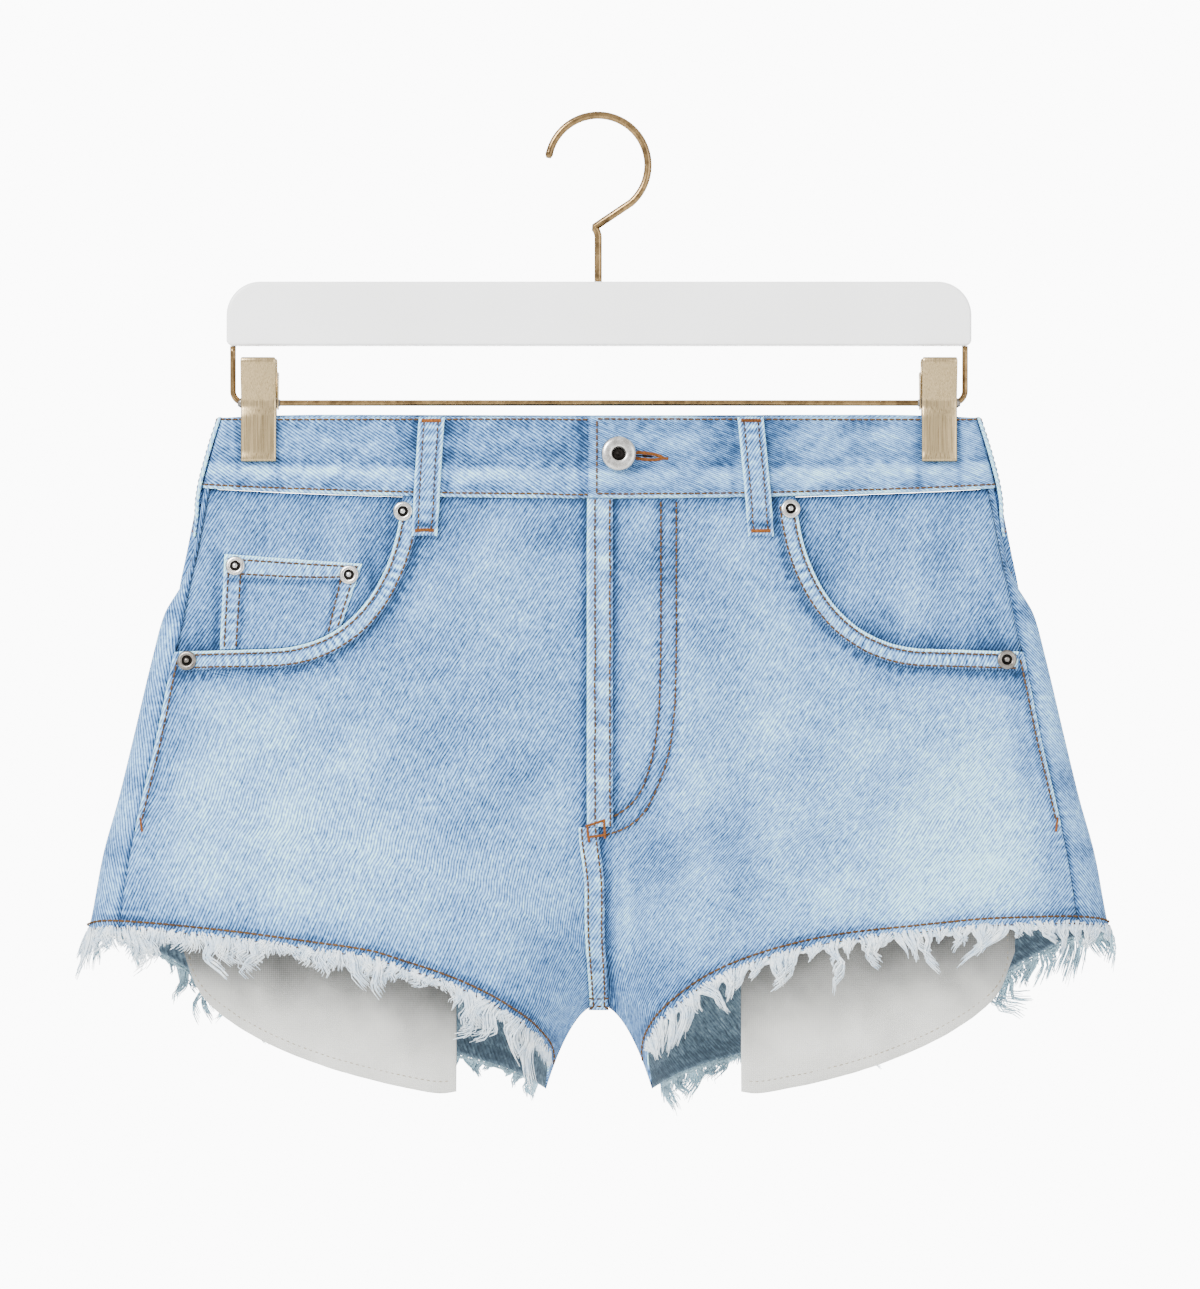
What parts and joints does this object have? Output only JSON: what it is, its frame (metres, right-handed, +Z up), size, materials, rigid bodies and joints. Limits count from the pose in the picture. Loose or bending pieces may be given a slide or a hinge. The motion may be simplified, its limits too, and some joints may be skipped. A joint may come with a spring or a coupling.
{
  "type": "denim shorts on a clip hanger",
  "caption": "Light-wash cut-off denim shorts with frayed hems and hanging pocket bags, held at the waist by the two clips of a flat white hanger.",
  "frame": {"origin": "under the top of the hanger's hook, where a rail or peg carries it", "axes": "+X to the right as seen from the front, front faces -Y, +Z up"},
  "size_m": [0.5146, 0.0761, 0.4983],
  "materials": {
    "denim": "washed twill, matt",
    "band_denim": "washed twill with brown topstitching, matt",
    "cotton": "plain off-white lining cotton, matt",
    "frayed_yarn": "loose white weft yarn",
    "nickel": "polished, slightly worn",
    "dark_nickel": "satin",
    "brass": "brushed antique",
    "white_lacquer": "smooth satin white"
  },
  "bodies": {
    "root": {"front_panel_left": "denim", "front_panel_right": "denim", "back_panel_left": "denim", "back_panel_right": "denim", "back_yoke_left": "denim", "back_yoke_right": "denim", "back_pocket_left": "denim", "back_pocket_right": "denim", "pocket_facing_left": "denim", "pocket_facing_right": "denim", "coin_pocket": "denim", "waistband": "band_denim", "pocket_mouth_left": "band_denim", "pocket_mouth_right": "band_denim", "fly_placket": "band_denim", "rise_seam": "band_denim", "belt_loop_front_left": "band_denim", "belt_loop_front_right": "band_denim", "belt_loop_side_left": "band_denim", "belt_loop_side_right": "band_denim", "belt_loop_middle": "band_denim", "pocket_bag_left": "cotton", "pocket_bag_right": "cotton", "fray_front_left": "frayed_yarn", "fray_front_right": "frayed_yarn", "fray_back_left": "frayed_yarn", "fray_back_right": "frayed_yarn", "rivet_scoop_left": "nickel", "rivet_scoop_right": "nickel", "rivet_coin_outer": "nickel", "rivet_coin_inner": "nickel", "waist_button": "nickel", "rivet_side_left": "dark_nickel", "rivet_side_right": "dark_nickel", "hanger_hook": "brass", "hanger_rod": "brass", "clip_left_front_jaw": "brass", "clip_left_back_jaw": "brass", "clip_left_spring": "brass", "clip_right_front_jaw": "brass", "clip_right_back_jaw": "brass", "clip_right_spring": "brass", "hanger_bar": "white_lacquer"}
  },
  "joints": []
}
